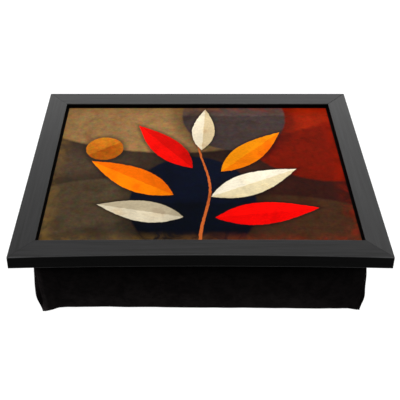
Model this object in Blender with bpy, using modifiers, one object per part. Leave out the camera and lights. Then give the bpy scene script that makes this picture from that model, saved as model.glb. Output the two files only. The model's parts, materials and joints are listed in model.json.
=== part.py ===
"""Cushioned lap tray: a mitred frame round a printed tray panel, on a cushion filled with beads.

The tray stands level on its cushion, with +Z up and -Y towards the person who uses it. The origin is on the
surface that the cushion rests on, under the middle of the tray. Lengths are in metres.
"""

import math

import bmesh
import bpy
from mathutils import Matrix, Vector

MM = 0.001

# Whole tray, over the top edges of its frame
TRAY_WIDTH = 440 * MM
TRAY_DEPTH = 340 * MM
TRAY_HEIGHT = 117 * MM

# Fits that several pieces share
SEAT_GAP = 0.3 * MM  # between a piece and what it rests on or is driven into
CUT_OVERRUN = 1 * MM  # how far a cutter runs past the face that it opens
WELD_DISTANCE = 0.001 * MM

# Frame moulding
RAIL_WIDTH = 28 * MM
RAIL_HEIGHT = 17.5 * MM
FACE_FLARE = 0.8 * MM  # how far the foot of the outer face stands out past its top edge
REBATE_WIDTH = 6 * MM
LIP_HEIGHT = 6.1 * MM
TOP_ARRIS_RADIUS = 0.9 * MM
BOTTOM_ARRIS_RADIUS = 0.5 * MM
SIGHT_ARRIS_RADIUS = 0.6 * MM
ARRIS_STEPS = 3
MITRE_GAP = 0.3 * MM

# V-nails that pin each mitre from below
VNAIL_LEG = 5 * MM
VNAIL_THICKNESS = 0.6 * MM
VNAIL_HEIGHT = 10 * MM
VNAIL_PLACE_SHARES = (0.38, 0.8)  # of the moulding's full-height width, from the outer corner

# Tray panel: a printed laminate on a fibreboard
PANEL_CLEARANCE = 0.8 * MM  # round the panel, inside the rebate
PRINT_THICKNESS = 0.8 * MM
PANEL_THICKNESS = 3 * MM

# Framer's points that hold the panel up against the lip
POINT_LENGTH = 14 * MM
POINT_WIDTH = 6 * MM
POINT_THICKNESS = 0.5 * MM
POINT_DRIVEN_LENGTH = 7 * MM
POINT_TIP_LENGTH = 3 * MM
POINTS_ON_LONG_SIDE = 3
POINTS_ON_SHORT_SIDE = 2

# Double-sided foam tape between the panel and the cushion's board
TAPE_THICKNESS = 2 * MM
TAPE_WIDTH = 25 * MM
TAPE_LENGTH = 220 * MM
TAPE_COUNT = 4
TAPE_SPREAD_SHARE = 0.6  # of the cushion board's depth, from the first strip to the last

# Cushion board
PAD_BOARD_THICKNESS = 2.5 * MM
PAD_BOARD_CORNER_RADIUS = 8 * MM
PAD_BOARD_CORNER_STEPS = 4

# Cushion cover: one sheet, seamed up its four corners and stapled over the board's edge
FABRIC_THICKNESS = 0.8 * MM
FABRIC_CLEARANCE = 1 * MM  # between the fabric and the rebate's wall
HEM_WIDTH = 22 * MM
COVER_COLUMN_SHARES = (-1, -0.92, -0.5, 0.5, 0.92, 1)  # of half the width, at each line across the cage
COVER_LINE_SHARES = (-1, -0.9, 0, 0.9, 1)  # of half the depth
SIDE_BULGE = 10 * MM  # how far the middle of a side swells past the board's edge
BULGE_STEEPNESS = 12  # how soon the bulge rises beside a corner seam
SEAM_BULGE = 4.5 * MM  # how far a corner seam, which holds the fabric back, swells
BASE_TUCK = 14 * MM  # how far the base's edge lies inside the board's edge
EAR_LENGTH = 3.5 * MM  # how far the end of a corner seam pokes past the board's corner
COVER_SMOOTHING = 1
# Each ring of the cage below the frame: its height as a share of the drop, then its shares of the side's
# bulge, the seam's bulge, the base's tuck and the ear.
COVER_RINGS_SHARES = (
    (0.985, 0.0, 0.0, 0.0, 0.0),
    (0.72, 0.85, 0.65, 0.0, 0.0),
    (0.35, 1.2, 1.1, 0.0, 0.0),
    (0.09, 1.0, 0.9, 0.0, 0.0),
    (0.0, 0.0, 0.0, 1.0, 1.0),
)

# Bag of beads inside the cover
BAG_CLEARANCE = 0.6 * MM

# Staples through the hem into the board
STAPLE_CROWN = 10 * MM
STAPLE_WIRE_THICKNESS = 0.5 * MM
STAPLE_WIRE_WIDTH = 1 * MM
STAPLE_BITE = 1.5 * MM  # how deep the legs go into the board
STAPLES_ON_LONG_SIDE = 6
STAPLES_ON_SHORT_SIDE = 4

# Worked out from the sizes above
FRAME_BOTTOM = TRAY_HEIGHT - RAIL_HEIGHT
WALL_WIDTH = RAIL_WIDTH - REBATE_WIDTH  # of the moulding beside its rebate
LIP_BOTTOM = TRAY_HEIGHT - LIP_HEIGHT
REBATE_HALF_WIDTH = TRAY_WIDTH / 2 - WALL_WIDTH
REBATE_HALF_DEPTH = TRAY_DEPTH / 2 - WALL_WIDTH
PRINT_BOTTOM = LIP_BOTTOM - SEAT_GAP - PRINT_THICKNESS
PANEL_BOTTOM = PRINT_BOTTOM - SEAT_GAP - PANEL_THICKNESS
POINT_BOTTOM = PANEL_BOTTOM - SEAT_GAP - POINT_THICKNESS
TAPE_BOTTOM = PANEL_BOTTOM - SEAT_GAP - TAPE_THICKNESS
PAD_BOARD_TOP = TAPE_BOTTOM - SEAT_GAP
PAD_BOARD_BOTTOM = PAD_BOARD_TOP - PAD_BOARD_THICKNESS
HEM_BOTTOM = PAD_BOARD_TOP + SEAT_GAP
HEM_TOP = HEM_BOTTOM + FABRIC_THICKNESS
COVER_HALF_WIDTH = REBATE_HALF_WIDTH - FABRIC_CLEARANCE
COVER_HALF_DEPTH = REBATE_HALF_DEPTH - FABRIC_CLEARANCE
PAD_EDGE_INSET = FABRIC_THICKNESS + SEAT_GAP
PAD_HALF_WIDTH = COVER_HALF_WIDTH - PAD_EDGE_INSET
PAD_HALF_DEPTH = COVER_HALF_DEPTH - PAD_EDGE_INSET

# The tray's four sides in turn: each is the front turned about Z by another quarter turn
SIDES = ("front", "right", "back", "left")
CORNERS = ("front_left", "front_right", "back_right", "back_left")


def new_collection(name):
    made = bpy.data.collections.new(name)
    bpy.context.scene.collection.children.link(made)
    return made


def finish(name, colour, roughness, metallic=0.0):
    """A plain surface: its colour, how rough it is and whether it is metal."""
    material = bpy.data.materials.new(name)
    material.use_nodes = True
    shader = material.node_tree.nodes["Principled BSDF"]
    shader.inputs["Base Color"].default_value = (*colour, 1)
    shader.inputs["Roughness"].default_value = roughness
    shader.inputs["Metallic"].default_value = metallic
    return material


def place(name, mesh, location, turn=0.0, material=None):
    """Adds a piece of the tray, turned about Z and then moved to its place."""
    piece = bpy.data.objects.new(name, mesh)
    piece.location = location
    piece.rotation_euler.z = turn
    if material:
        mesh.materials.clear()
        mesh.materials.append(material)
        PARTS.objects.link(piece)
    else:
        piece.hide_render = True
        piece.display_type = "WIRE"
        CUTTERS.objects.link(piece)
    return piece


def tidy(mesh):
    """Welds points that coincide and turns every face outwards."""
    shape = bmesh.new()
    shape.from_mesh(mesh)
    bmesh.ops.remove_doubles(shape, verts=shape.verts, dist=WELD_DISTANCE)
    bmesh.ops.recalc_face_normals(shape, faces=shape.faces)
    shape.to_mesh(mesh)
    shape.free()
    return mesh


def box(name, width, depth, height):
    """A block that stands on z = 0, centred on the Z axis."""
    shape = bmesh.new()
    bmesh.ops.create_cube(shape, size=1)
    bmesh.ops.scale(shape, vec=(width, depth, height), verts=shape.verts)
    bmesh.ops.translate(shape, vec=(0, 0, height / 2), verts=shape.verts)
    mesh = bpy.data.meshes.new(name)
    shape.to_mesh(mesh)
    shape.free()
    return mesh


def extruded(name, outline, thickness):
    """The flat outline, thickened upwards from z = 0."""
    curve = bpy.data.curves.new(name, "CURVE")
    curve.dimensions = "2D"
    curve.fill_mode = "BOTH"
    curve.extrude = thickness / 2
    spline = curve.splines.new("POLY")
    spline.points.add(len(outline) - 1)
    for point, (x, y) in zip(spline.points, outline):
        point.co = (x, y, 0, 1)
    spline.use_cyclic_u = True
    drawn = bpy.data.objects.new(name, curve)
    PARTS.objects.link(drawn)
    evaluated = drawn.evaluated_get(bpy.context.evaluated_depsgraph_get())
    mesh = bpy.data.meshes.new_from_object(evaluated)
    bpy.data.objects.remove(drawn)
    mesh.transform(Matrix.Translation((0, 0, thickness / 2)))
    return tidy(mesh)


def rounded(corners, steps):
    """An outline through (x, y, radius) corners, with each corner that has a radius drawn as an arc."""
    outline = []
    for i, (x, y, radius) in enumerate(corners):
        corner = Vector((x, y))
        if not radius:
            outline.append(corner)
            continue
        before = (Vector(corners[i - 1][:2]) - corner).normalized()
        after = (Vector(corners[(i + 1) % len(corners)][:2]) - corner).normalized()
        reach = radius / math.tan(before.angle(after) / 2)
        centre = corner + (before + after).normalized() * math.hypot(radius, reach)
        start = corner + before * reach - centre
        swing = start.angle_signed(corner + after * reach - centre)
        for step in range(steps + 1):
            outline.append(centre + Matrix.Rotation(-swing * step / steps, 2) @ start)
    return outline


def side_turn(side):
    """How far the front is turned about Z to become this side."""
    return SIDES.index(side) * math.pi / 2


def side_length(side):
    return TRAY_WIDTH if side in ("front", "back") else TRAY_DEPTH


def on_side(side, along, inset, height):
    """A point by its place along a side, how far it lies inside the side's outer face, and its height."""
    reach = (TRAY_DEPTH if side in ("front", "back") else TRAY_WIDTH) / 2
    return Matrix.Rotation(side_turn(side), 3, "Z") @ Vector((along, inset - reach, height))


def spread(count, length):
    """The middles of that many equal stretches of a length that is centred on 0."""
    return [length * ((i + 0.5) / count - 0.5) for i in range(count)]


def moulding_section():
    """The moulding's outline: x runs inwards from the top edge of its outer face, y up from its underside."""
    shoulder = RAIL_HEIGHT - LIP_HEIGHT
    corners = [
        (-FACE_FLARE, 0, BOTTOM_ARRIS_RADIUS),
        (WALL_WIDTH, 0, 0),
        (WALL_WIDTH, shoulder, 0),
        (RAIL_WIDTH, shoulder, 0),
        (RAIL_WIDTH, RAIL_HEIGHT, SIGHT_ARRIS_RADIUS),
        (0, RAIL_HEIGHT, TOP_ARRIS_RADIUS),
    ]
    return rounded(corners, ARRIS_STEPS)


def cut_mitre(shape, end, length):
    """Saws one end of a rail at 45 degrees, half the mitre's gap short of the corner's diagonal."""
    saw = bmesh.ops.bisect_plane(
        shape,
        geom=shape.verts[:] + shape.edges[:] + shape.faces[:],
        plane_co=(end * (length / 2 - MITRE_GAP / math.sqrt(2)), 0, 0),
        plane_no=(end, 1, 0),
        clear_outer=True,
    )
    rim = [part for part in saw["geom_cut"] if isinstance(part, bmesh.types.BMEdge)]
    bmesh.ops.contextual_create(shape, geom=rim)


def rail(side):
    """One length of moulding, mitred at both ends, with slots for its V-nails and points."""
    length = side_length(side)
    blank_length = length + 2 * FACE_FLARE
    mesh = extruded(f"{side}_rail", moulding_section(), blank_length)
    # The section lay flat, so stand it up: its length runs along X, its width along Y and its height along Z.
    stand = Matrix(((0, 0, 1, -blank_length / 2), (1, 0, 0, 0), (0, 1, 0, 0), (0, 0, 0, 1)))
    mesh.transform(stand)
    shape = bmesh.new()
    shape.from_mesh(mesh)
    for end in (-1, 1):
        cut_mitre(shape, end, length)
    shape.to_mesh(mesh)
    shape.free()
    piece = place(f"{side}_rail", tidy(mesh), on_side(side, 0, 0, FRAME_BOTTOM), side_turn(side), BLACK_FOIL)
    slots = piece.modifiers.new("fastener_slots", "BOOLEAN")
    slots.operand_type = "COLLECTION"
    slots.collection = CUTTERS


def vnail_outline(clearance=0.0):
    """A V of two legs at right angles: its point is at the origin, and it opens towards the outer corner."""
    near = clearance
    inner = -VNAIL_THICKNESS - clearance
    far = -VNAIL_LEG - clearance
    return [(near, near), (far, near), (far, inner), (inner, inner), (inner, far), (near, far)]


def vnails():
    """Two V-nails across each mitre, driven up from the frame's underside, and the slots that they fill."""
    nail = extruded("v_nail", vnail_outline(), VNAIL_HEIGHT)
    slot = extruded("v_nail_slot", vnail_outline(SEAT_GAP), VNAIL_HEIGHT + 2 * SEAT_GAP + CUT_OVERRUN)
    for corner, side in zip(CORNERS, SIDES):
        for i, share in enumerate(VNAIL_PLACE_SHARES):
            inset = share * WALL_WIDTH
            along = inset - side_length(side) / 2
            turn = side_turn(side)
            foot = FRAME_BOTTOM + SEAT_GAP
            place(f"v_nail_{corner}_{i + 1}", nail, on_side(side, along, inset, foot), turn, STEEL)
            under = on_side(side, along, inset, FRAME_BOTTOM - CUT_OVERRUN)
            place(f"v_nail_slot_{corner}_{i + 1}", slot, under, turn)


def point_outline(clearance=0.0):
    """A framer's point from above: a strip whose pointed end is driven into the rebate's wall at y = 0."""
    half = POINT_WIDTH / 2 + clearance
    tail = POINT_LENGTH - POINT_DRIVEN_LENGTH + clearance
    tip = -POINT_DRIVEN_LENGTH - clearance
    shoulder = tip + POINT_TIP_LENGTH
    return [(-half, tail), (-half, shoulder), (0, tip), (half, shoulder), (half, tail)]


def framers_points():
    """Steel points in the rebate's wall, flat against the panel's back, and the slots that they fill."""
    blade = extruded("framers_point", point_outline(), POINT_THICKNESS)
    slot = extruded("framers_point_slot", point_outline(SEAT_GAP), POINT_THICKNESS + 2 * SEAT_GAP)
    for side in SIDES:
        count = POINTS_ON_LONG_SIDE if side in ("front", "back") else POINTS_ON_SHORT_SIDE
        for i, along in enumerate(spread(count, side_length(side) - 2 * RAIL_WIDTH)):
            turn = side_turn(side)
            place(
                f"framers_point_{side}_{i + 1}",
                blade,
                on_side(side, along, WALL_WIDTH, POINT_BOTTOM),
                turn,
                STEEL,
            )
            under = on_side(side, along, WALL_WIDTH, POINT_BOTTOM - SEAT_GAP)
            place(f"framers_point_slot_{side}_{i + 1}", slot, under, turn)


def tray_panel():
    """The printed laminate that things stand on, and the fibreboard under it."""
    width = 2 * (REBATE_HALF_WIDTH - PANEL_CLEARANCE)
    depth = 2 * (REBATE_HALF_DEPTH - PANEL_CLEARANCE)
    printed = box("printed_laminate", width, depth, PRINT_THICKNESS)
    place("printed_laminate", printed, (0, 0, PRINT_BOTTOM), material=PRINT)
    board = box("tray_panel", width, depth, PANEL_THICKNESS)
    place("tray_panel", board, (0, 0, PANEL_BOTTOM), material=FIBREBOARD)


def foam_tapes():
    """Strips of double-sided tape that bond the cushion's board to the tray panel."""
    strip = box("foam_tape", TAPE_LENGTH, TAPE_WIDTH, TAPE_THICKNESS)
    reach = TAPE_SPREAD_SHARE * PAD_HALF_DEPTH
    for i in range(TAPE_COUNT):
        y = reach * (2 * i / (TAPE_COUNT - 1) - 1)
        place(f"foam_tape_{i + 1}", strip, (0, y, TAPE_BOTTOM), material=TAPE)


def staple_outline():
    """A staple from the front, standing on its legs' tips: a crown across the top of two legs."""
    half = STAPLE_CROWN / 2
    inner = half - STAPLE_WIRE_THICKNESS
    top = staple_height()
    under = top - STAPLE_WIRE_THICKNESS
    left = [(-half, top), (-half, 0), (-inner, 0), (-inner, under)]
    return left + [(-x, y) for x, y in reversed(left)]


def staple_height():
    """From the legs' tips in the board, through the hem, to the crown that rests on it."""
    return STAPLE_BITE + 2 * SEAT_GAP + FABRIC_THICKNESS + STAPLE_WIRE_THICKNESS


def staples():
    """Staples round the hem, and the holes that their legs fill in the hem and the board."""
    mesh = extruded("staple", staple_outline(), STAPLE_WIRE_WIDTH)
    upright = Matrix.Rotation(math.pi / 2, 4, "X") @ Matrix.Translation((0, 0, -STAPLE_WIRE_WIDTH / 2))
    mesh.transform(upright)
    hole = box(
        "staple_hole",
        STAPLE_WIRE_THICKNESS + 2 * SEAT_GAP,
        STAPLE_WIRE_WIDTH + 2 * SEAT_GAP,
        STAPLE_BITE + 2 * SEAT_GAP + FABRIC_THICKNESS + CUT_OVERRUN,
    )
    tips = PAD_BOARD_TOP - STAPLE_BITE
    leg_reach = (STAPLE_CROWN - STAPLE_WIRE_THICKNESS) / 2
    inset = WALL_WIDTH + FABRIC_CLEARANCE + HEM_WIDTH / 2
    for side in SIDES:
        count = STAPLES_ON_LONG_SIDE if side in ("front", "back") else STAPLES_ON_SHORT_SIDE
        for i, along in enumerate(spread(count, side_length(side) - 2 * inset)):
            place(f"staple_{side}_{i + 1}", mesh, on_side(side, along, inset, tips), side_turn(side), STEEL)
            for j, leg in enumerate((-leg_reach, leg_reach)):
                foot = on_side(side, along + leg, inset, tips - SEAT_GAP)
                pierce = place(f"staple_hole_{side}_{i + 1}_{j + 1}", hole, foot, side_turn(side))
                CUTTERS.objects.unlink(pierce)
                STAPLE_HOLES.objects.link(pierce)


def cut_staple_holes(piece):
    holes = piece.modifiers.new("staple_holes", "BOOLEAN")
    holes.operand_type = "COLLECTION"
    holes.collection = STAPLE_HOLES


def pad_board():
    """The hardboard that the cushion is built on, with its corners rounded to suit the fabric."""
    x, y, radius = PAD_HALF_WIDTH, PAD_HALF_DEPTH, PAD_BOARD_CORNER_RADIUS
    corners = [(-x, -y, radius), (x, -y, radius), (x, y, radius), (-x, y, radius)]
    mesh = extruded("cushion_board", rounded(corners, PAD_BOARD_CORNER_STEPS), PAD_BOARD_THICKNESS)
    cut_staple_holes(place("cushion_board", mesh, (0, 0, PAD_BOARD_BOTTOM), material=FIBREBOARD))


def ring_place(column, line, ring, inset):
    """A point of a cushion cage's ring. column and line run from -1 to 1 and one of them is at its limit.

    The inset shrinks the whole cage, so that the bag of beads lies inside the cover.
    """
    height_share, bulge_share, seam_share, tuck_share, ear_share = ring
    swell = bulge_share * SIDE_BULGE - tuck_share * BASE_TUCK
    corner = seam_share * SEAM_BULGE + ear_share * EAR_LENGTH
    point = []
    for share, other, half in ((column, line, COVER_HALF_WIDTH), (line, column, COVER_HALF_DEPTH)):
        along_side = 1 - abs(other) ** BULGE_STEEPNESS if abs(share) == 1 else 0
        point.append(share * (half + corner + (swell - corner) * along_side - inset))
    return Vector((*point, inset + height_share * (FRAME_BOTTOM - inset)))


def base_grid(shape, inset):
    """The cushion's underside as a flat grid of faces: the keys of its points, and the edges round it."""
    spans = len(COVER_COLUMN_SHARES) - 1, len(COVER_LINE_SHARES) - 1
    bmesh.ops.create_grid(shape, x_segments=spans[0], y_segments=spans[1], size=1)
    keys = {}
    for point in shape.verts:
        column = COVER_COLUMN_SHARES[round((point.co.x + 1) / 2 * spans[0])]
        line = COVER_LINE_SHARES[round((point.co.y + 1) / 2 * spans[1])]
        keys[point] = column, line
        if point.is_boundary:
            point.co = ring_place(column, line, COVER_RINGS_SHARES[-1], inset)
        else:
            point.co = (column * (COVER_HALF_WIDTH - BASE_TUCK), line * (COVER_HALF_DEPTH - BASE_TUCK), inset)
    return keys, [edge for edge in shape.edges if edge.is_boundary]


def extrude_ring(shape, rim, keys, positions):
    """Draws the rim's edges out to a new ring, whose points lie where positions says, and gives its rim."""
    old = {point for edge in rim for point in edge.verts}
    made = bmesh.ops.extrude_edge_only(shape, edges=rim)["geom"]
    new = [part for part in made if isinstance(part, bmesh.types.BMVert)]
    for point in new:
        below = next(edge.other_vert(point) for edge in point.link_edges if edge.other_vert(point) in old)
        keys[point] = keys[below]
        point.co = positions(*keys[point])
    return [edge for edge in shape.edges if set(edge.verts) <= set(new)]


def at_height(height, inset):
    """A ring of the cover's plain size, drawn in by the inset."""

    def position(column, line):
        return Vector((column * (COVER_HALF_WIDTH - inset), line * (COVER_HALF_DEPTH - inset), height))

    return position


def swollen_sides(inset):
    """The cage from its underside up to just under the frame, the keys of its points, and its top rim."""
    shape = bmesh.new()
    crease = shape.edges.layers.float.new("crease_edge")
    keys, rim = base_grid(shape, inset)
    for edge in rim:
        if any(is_corner(keys[point]) for point in edge.verts):
            edge[crease] = 1
    for ring in reversed(COVER_RINGS_SHARES[:-1]):
        rim = extrude_ring(shape, rim, keys, lambda column, line: ring_place(column, line, ring, inset))
    for edge in rim:  # the fabric bends sharply where it passes the frame's wall
        edge[crease] = 1
    return shape, keys, rim


def is_corner(key):
    return all(abs(share) == 1 for share in key)


def crease_seams(shape, keys, sharp):
    """Keeps the corner seams and the edges in sharp as edges when the cage is smoothed."""
    crease = shape.edges.layers.float["crease_edge"]
    for edge in shape.edges:
        if all(is_corner(keys[point]) for point in edge.verts):
            edge[crease] = 1
    for edge in sharp:
        edge[crease] = 1


def smoothed_piece(name, shape, material):
    bmesh.ops.recalc_face_normals(shape, faces=shape.faces)
    mesh = bpy.data.meshes.new(name)
    shape.to_mesh(mesh)
    shape.free()
    piece = place(name, mesh, (0, 0, 0), material=material)
    smooth = piece.modifiers.new("smooth", "SUBSURF")
    smooth.levels = COVER_SMOOTHING
    smooth.render_levels = COVER_SMOOTHING
    smooth.boundary_smooth = "PRESERVE_CORNERS"
    mesh.shade_smooth()
    return piece


def cushion_cover():
    """The fabric: an open bag that swells below the frame, turned over the board's edge into a hem."""
    shape, keys, rim = swollen_sides(0)
    fold = extrude_ring(shape, rim, keys, at_height(HEM_TOP, 0))
    extrude_ring(shape, fold, keys, at_height(HEM_TOP, HEM_WIDTH))
    crease_seams(shape, keys, fold)
    piece = smoothed_piece("cushion_cover", shape, FABRIC)
    thicken = piece.modifiers.new("fabric", "SOLIDIFY")
    thicken.thickness = FABRIC_THICKNESS
    thicken.offset = -1
    thicken.use_even_offset = True
    cut_staple_holes(piece)


def bead_bag():
    """The inner bag, full of beads: a closed cushion that fills the cover up to its board."""
    inset = FABRIC_THICKNESS + BAG_CLEARANCE
    shape, keys, rim = swollen_sides(inset)
    top = extrude_ring(shape, rim, keys, at_height(PAD_BOARD_BOTTOM - SEAT_GAP, inset))
    bmesh.ops.contextual_create(shape, geom=top)
    crease_seams(shape, keys, top)
    smoothed_piece("bead_bag", shape, CALICO)


for leftover in list(bpy.data.objects):
    bpy.data.objects.remove(leftover)

PARTS = new_collection("lap_tray")
CUTTERS = new_collection("frame_cutters")
STAPLE_HOLES = new_collection("staple_holes")

BLACK_FOIL = finish("black_foil", (0.018, 0.018, 0.019), 0.42)
PRINT = finish("print", (0.22, 0.13, 0.07), 0.45)
FIBREBOARD = finish("fibreboard", (0.28, 0.18, 0.1), 0.85)
FABRIC = finish("black_fabric", (0.006, 0.005, 0.0055), 0.95)
CALICO = finish("calico", (0.6, 0.57, 0.5), 0.95)
TAPE = finish("foam_tape", (0.7, 0.7, 0.68), 0.8)
STEEL = finish("steel", (0.55, 0.55, 0.56), 0.35, 1.0)

vnails()
framers_points()
for side_name in SIDES:
    rail(side_name)
tray_panel()
foam_tapes()
staples()
pad_board()
cushion_cover()
bead_bag()
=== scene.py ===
"""The looks of a cushioned breakfast tray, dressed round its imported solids.

Everything is in metres, in the frame of the solids: +X to the right, +Y away from the person who uses the
tray, +Z up, with the underside of the cushion at Z = 0.
"""
import json
import math

import bmesh
import bpy
from mathutils import Matrix, Vector


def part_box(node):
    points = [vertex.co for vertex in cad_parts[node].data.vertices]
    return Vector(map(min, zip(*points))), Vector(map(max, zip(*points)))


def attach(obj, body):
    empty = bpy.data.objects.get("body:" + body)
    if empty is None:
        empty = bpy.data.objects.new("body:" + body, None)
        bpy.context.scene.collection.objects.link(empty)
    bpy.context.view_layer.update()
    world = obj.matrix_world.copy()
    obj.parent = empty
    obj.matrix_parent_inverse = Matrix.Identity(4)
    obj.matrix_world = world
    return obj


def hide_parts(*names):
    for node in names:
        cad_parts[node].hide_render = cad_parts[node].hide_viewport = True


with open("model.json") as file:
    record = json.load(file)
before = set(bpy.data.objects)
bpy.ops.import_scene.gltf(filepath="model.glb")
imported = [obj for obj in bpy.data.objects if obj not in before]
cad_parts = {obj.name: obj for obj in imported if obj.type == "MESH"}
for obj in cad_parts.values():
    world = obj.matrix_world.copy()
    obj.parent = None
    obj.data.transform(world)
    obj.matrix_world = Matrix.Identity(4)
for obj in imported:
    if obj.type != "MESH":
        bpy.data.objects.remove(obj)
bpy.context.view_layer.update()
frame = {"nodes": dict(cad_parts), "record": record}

SCENE = bpy.context.scene
MM = 0.001
# Points of a mesh that lie closer than this are one point
WELD_REACH = 0.01 * MM

# The moulding's outer face leans out by this much at its foot
FACE_FLARE = 0.8 * MM

# Places taken from the solids. The half sizes of the frame, along X and Y, are those over its top edges
FRONT_LOW, FRONT_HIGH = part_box("front_rail")
FRAME_HALVES = (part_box("right_rail")[1][0] - FACE_FLARE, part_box("back_rail")[1][1] - FACE_FLARE)
FRAME_UNDERSIDE, FRAME_TOP = FRONT_LOW[2], FRONT_HIGH[2]
MOULDING_HEIGHT = FRAME_TOP - FRAME_UNDERSIDE
RAIL_WIDTH = FRONT_HIGH[1] - FRONT_LOW[1] - FACE_FLARE
HEM_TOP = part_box("cushion_cover")[1].z
# Half the width and depth of the cover's upright line, which stands just inside the printed sheet's outline
COVER_CLEARANCE = 0.2 * MM
COVER_HALVES = tuple(half - COVER_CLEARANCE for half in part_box("printed_laminate")[1][:2])

# Moulding
REBATE_WIDTH = 6 * MM
LIP_HEIGHT = 6.1 * MM
TOP_ARRIS_RADIUS = 0.9 * MM
BOTTOM_ARRIS_RADIUS = 0.5 * MM
SIGHT_ARRIS_RADIUS = 0.6 * MM
ARRIS_STEPS = 7
# The strip of each face beside an arris that keeps the rest of the face flat in smooth shading
ARRIS_MARGIN = 0.4 * MM
RAIL_SHARP_ANGLE = math.radians(32)
# A strip of the section that rises or falls by more than this is a wall
WALL_RISE = 2 * MM
RAIL_STATIONS = 48
MITRE_GAP = 0.15 * MM
OPEN_MITRE_GAP = 0.4 * MM
SLOT_CLEARANCE = 0.3 * MM
# This rail is bowed in towards the print by these distances at its middle
BOWED_RAIL = "front_rail"
BOW_AT_OUTER_ARRIS = 4.6 * MM
BOW_AT_FOOT = 3.4 * MM
BOW_AT_SIGHT_EDGE = 1.0 * MM

# Foil. The finishes of a rail have the numbers of its materials. The looks say the darkest and the
# lightest colour of the grain, the roughness and the specular level, and each rail has its own last two
# where it is satin
SATIN, DULL_SHADED, CORE, LOW_ARRIS_HIGHLIGHT, EDGE = range(5)
SATIN_COLOURS = {"dark": "030303", "light": "1a1a1b"}
# The outer face and the sight edge's wall take a darker, duller copy of the foil: painted shade
DULL_SHADED_LOOK = {"dark": "020202", "light": "050505", "rough": 0.6, "level": 0.02}
# The bottom arris takes a paler copy with more specular: a painted highlight along that edge
LOW_ARRIS_HIGHLIGHT_LOOK = {"dark": "060606", "light": "131314", "rough": 0.5, "level": 0.1}
# The colour of the painted highlight along the bowed rail's outer top arris at its ends, and the distances
# from its middle between which that comes in
PAINTED_HIGHLIGHT_COLOUR = "303031"
PAINTED_HIGHLIGHT_REACH = (185 * MM, 215 * MM)
# Each rail's quarter turns from the place of the front one, how far its left and its right end, seen from
# outside, stay back from the mitre's middle, and the roughness and specular level of its satin foil
RAILS = {
    "front_rail": (0, (MITRE_GAP, MITRE_GAP), 0.36, 0.23),
    "right_rail": (1, (MITRE_GAP, OPEN_MITRE_GAP), 0.5, 0.36),
    "back_rail": (2, (OPEN_MITRE_GAP, MITRE_GAP), 0.36, 0.215),
    "left_rail": (3, (MITRE_GAP, MITRE_GAP), 0.36, 0.24),
}

# Print, in millimetres. The stretched discs of the design and its leaves, from the back to the front:
# middle, half sizes, the turn in degrees, and the colours of both halves
DISCS = (
    ((-70, 150), (215, 118), -8, "b28c5e", "9a7549"),
    ((168, 96), (118, 128), 24, "9c2206", "7a1604"),
    ((52, 120), (76, 84), 0, "574843", "453835"),
    ((-150, -118), (140, 92), 18, "4c3e2c", "403426"),
    ((128, -156), (170, 100), -12, "432919", "382117"),
    ((-8, -70), (82, 96), 0, "060c1d", "040813"),
    ((-128, 42), (26, 26), 35, "cf7718", "b75d0d"),
)
LEAVES = (
    ((-74, -84), (56, 19), 168, "dccfb2", "baab8d"),
    ((84, -88), (66, 20), 8, "ff0602", "ef0301"),
    ((-88, -20), (66, 22), 148, "ff8200", "f36a00"),
    ((72, -30), (64, 21), 26, "fff4da", "f0dfb4"),
    ((-46, 48), (62, 20), 128, "ff0a02", "de0701"),
    ((72, 36), (62, 19), 46, "ff9604", "fb7e00"),
    ((8, 88), (50, 16), 86, "fff1d2", "e6cfa2"),
)
# What the node group of a motif takes in
MOTIF_SOCKETS = {
    "Place": "Vector",
    "Middle": "Vector",
    "Turn": "Vector",
    "Size": "Vector",
    "Light": "Color",
    "Dark": "Color",
    "Below": "Color",
}
# The edges of the painted shapes waver by up to half of this
PAINT_WAVER = 2.2
# Half the width and depth of the print that the frame leaves open, and the black margin along its edges.
# Each side of the paint draws in by the taper from the front to the back, and it glows near the margin
PRINT_SEEN = tuple((half - RAIL_WIDTH) / MM for half in FRAME_HALVES)
BLACK_MARGIN = 1.9
MARGIN_BLUR = 0.15
PRINT_TAPER = 1.4
GLOW_WIDTH = 24
STEM_WIDTH = 1.3
STEM_BLUR = 0.3
STEM_BOW = 14
STEM_FOOT, STEM_HEAD = -PRINT_SEEN[1], 60
STEM_POINT = 6

# Cushion. Each side's bulge out of the cover's upright line, the share of the height where it is fullest,
# the power that it fades with towards the frame, how far its foot is tucked in behind the upright line,
# and how abruptly it starts at its left or front corner and at its right or back one
SIDE_SHAPES = {
    "left": (11.9 * MM, 0.15, 1.0, -2 * MM, (40, 40)),
    "right": (10.6 * MM, 0.15, 0.85, -2 * MM, (40, 40)),
    "front": (7 * MM, 0.2, 1.0, 13.5 * MM, (7, 9)),
    "back": (8 * MM, 0.2, 1.0, 13 * MM, (16, 16)),
}
# The front stands out this much more at its right end, and this much less at its left one
FRONT_SLANT = 2.1 * MM
# The power of the curve that rolls each side in to its foot
BASE_ROUNDNESS = 3.2
# How far a corner's seam stands out at half its height
CORNER_BULGE = 0.6 * MM
# How far the ear at a corner's foot stands out along X and along Y, for the left and the right corners
EAR_LENGTHS = {"left": (4 * MM, 10 * MM), "right": (5.4 * MM, 6.2 * MM)}
EAR_HEIGHT_SHARE = 0.16
# The cushion's foot lies this far to the right of its top
LEAN = 2.2 * MM
FABRIC_THICKNESS = 0.8 * MM
CAGE_CELL = 5 * MM
# Places in the cube that the cage is cut from, which goes from -1 to 1, are the same within this
CAGE_REACH = 1e-4
REST_ROUNDING = 1.2 * MM
SEAM_RADIUS = 0.9 * MM
SEAM_BEVEL_STEPS = 2
BAG_CLEARANCE = 1.2 * MM
BAG_SMOOTHING = 6
BAG_SHARP_ANGLE = math.radians(60)
# The rings that carry the cover's top edge up to its fold and in over the board: the share of the hem's
# width that each lies inward, and the share of the way up from the frame's underside to the fold
HEM_WIDTH = 22 * MM
HEM_RINGS = ((0, 0.5), (0, 0.85), (0.02, 1.0), (0.3, 1.0), (1.0, 1.0))

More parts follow.
